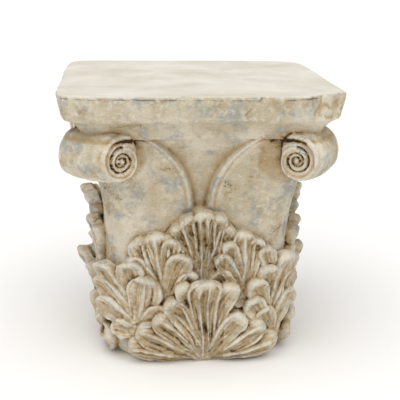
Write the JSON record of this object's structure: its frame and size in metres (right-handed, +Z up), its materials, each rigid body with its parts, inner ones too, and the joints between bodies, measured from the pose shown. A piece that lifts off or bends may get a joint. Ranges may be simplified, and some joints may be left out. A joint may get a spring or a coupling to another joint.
{
  "type": "corinthian capital",
  "caption": "Cast stone Corinthian capital used as a low pedestal: square slab on corner scrolls, arched bell panels and two tiers of acanthus leaves.",
  "frame": {"origin": "middle of the flat foot, on the surface that it stands on", "axes": "+Z up through the flat top, -Y out of the face that the picture shows, +X to that face's right"},
  "size_m": [0.4513, 0.4585, 0.463],
  "materials": {
    "stone": "matt lime washed cast stone with brown patina in the hollows"
  },
  "bodies": {
    "root": {"capital": "stone"}
  },
  "joints": []
}
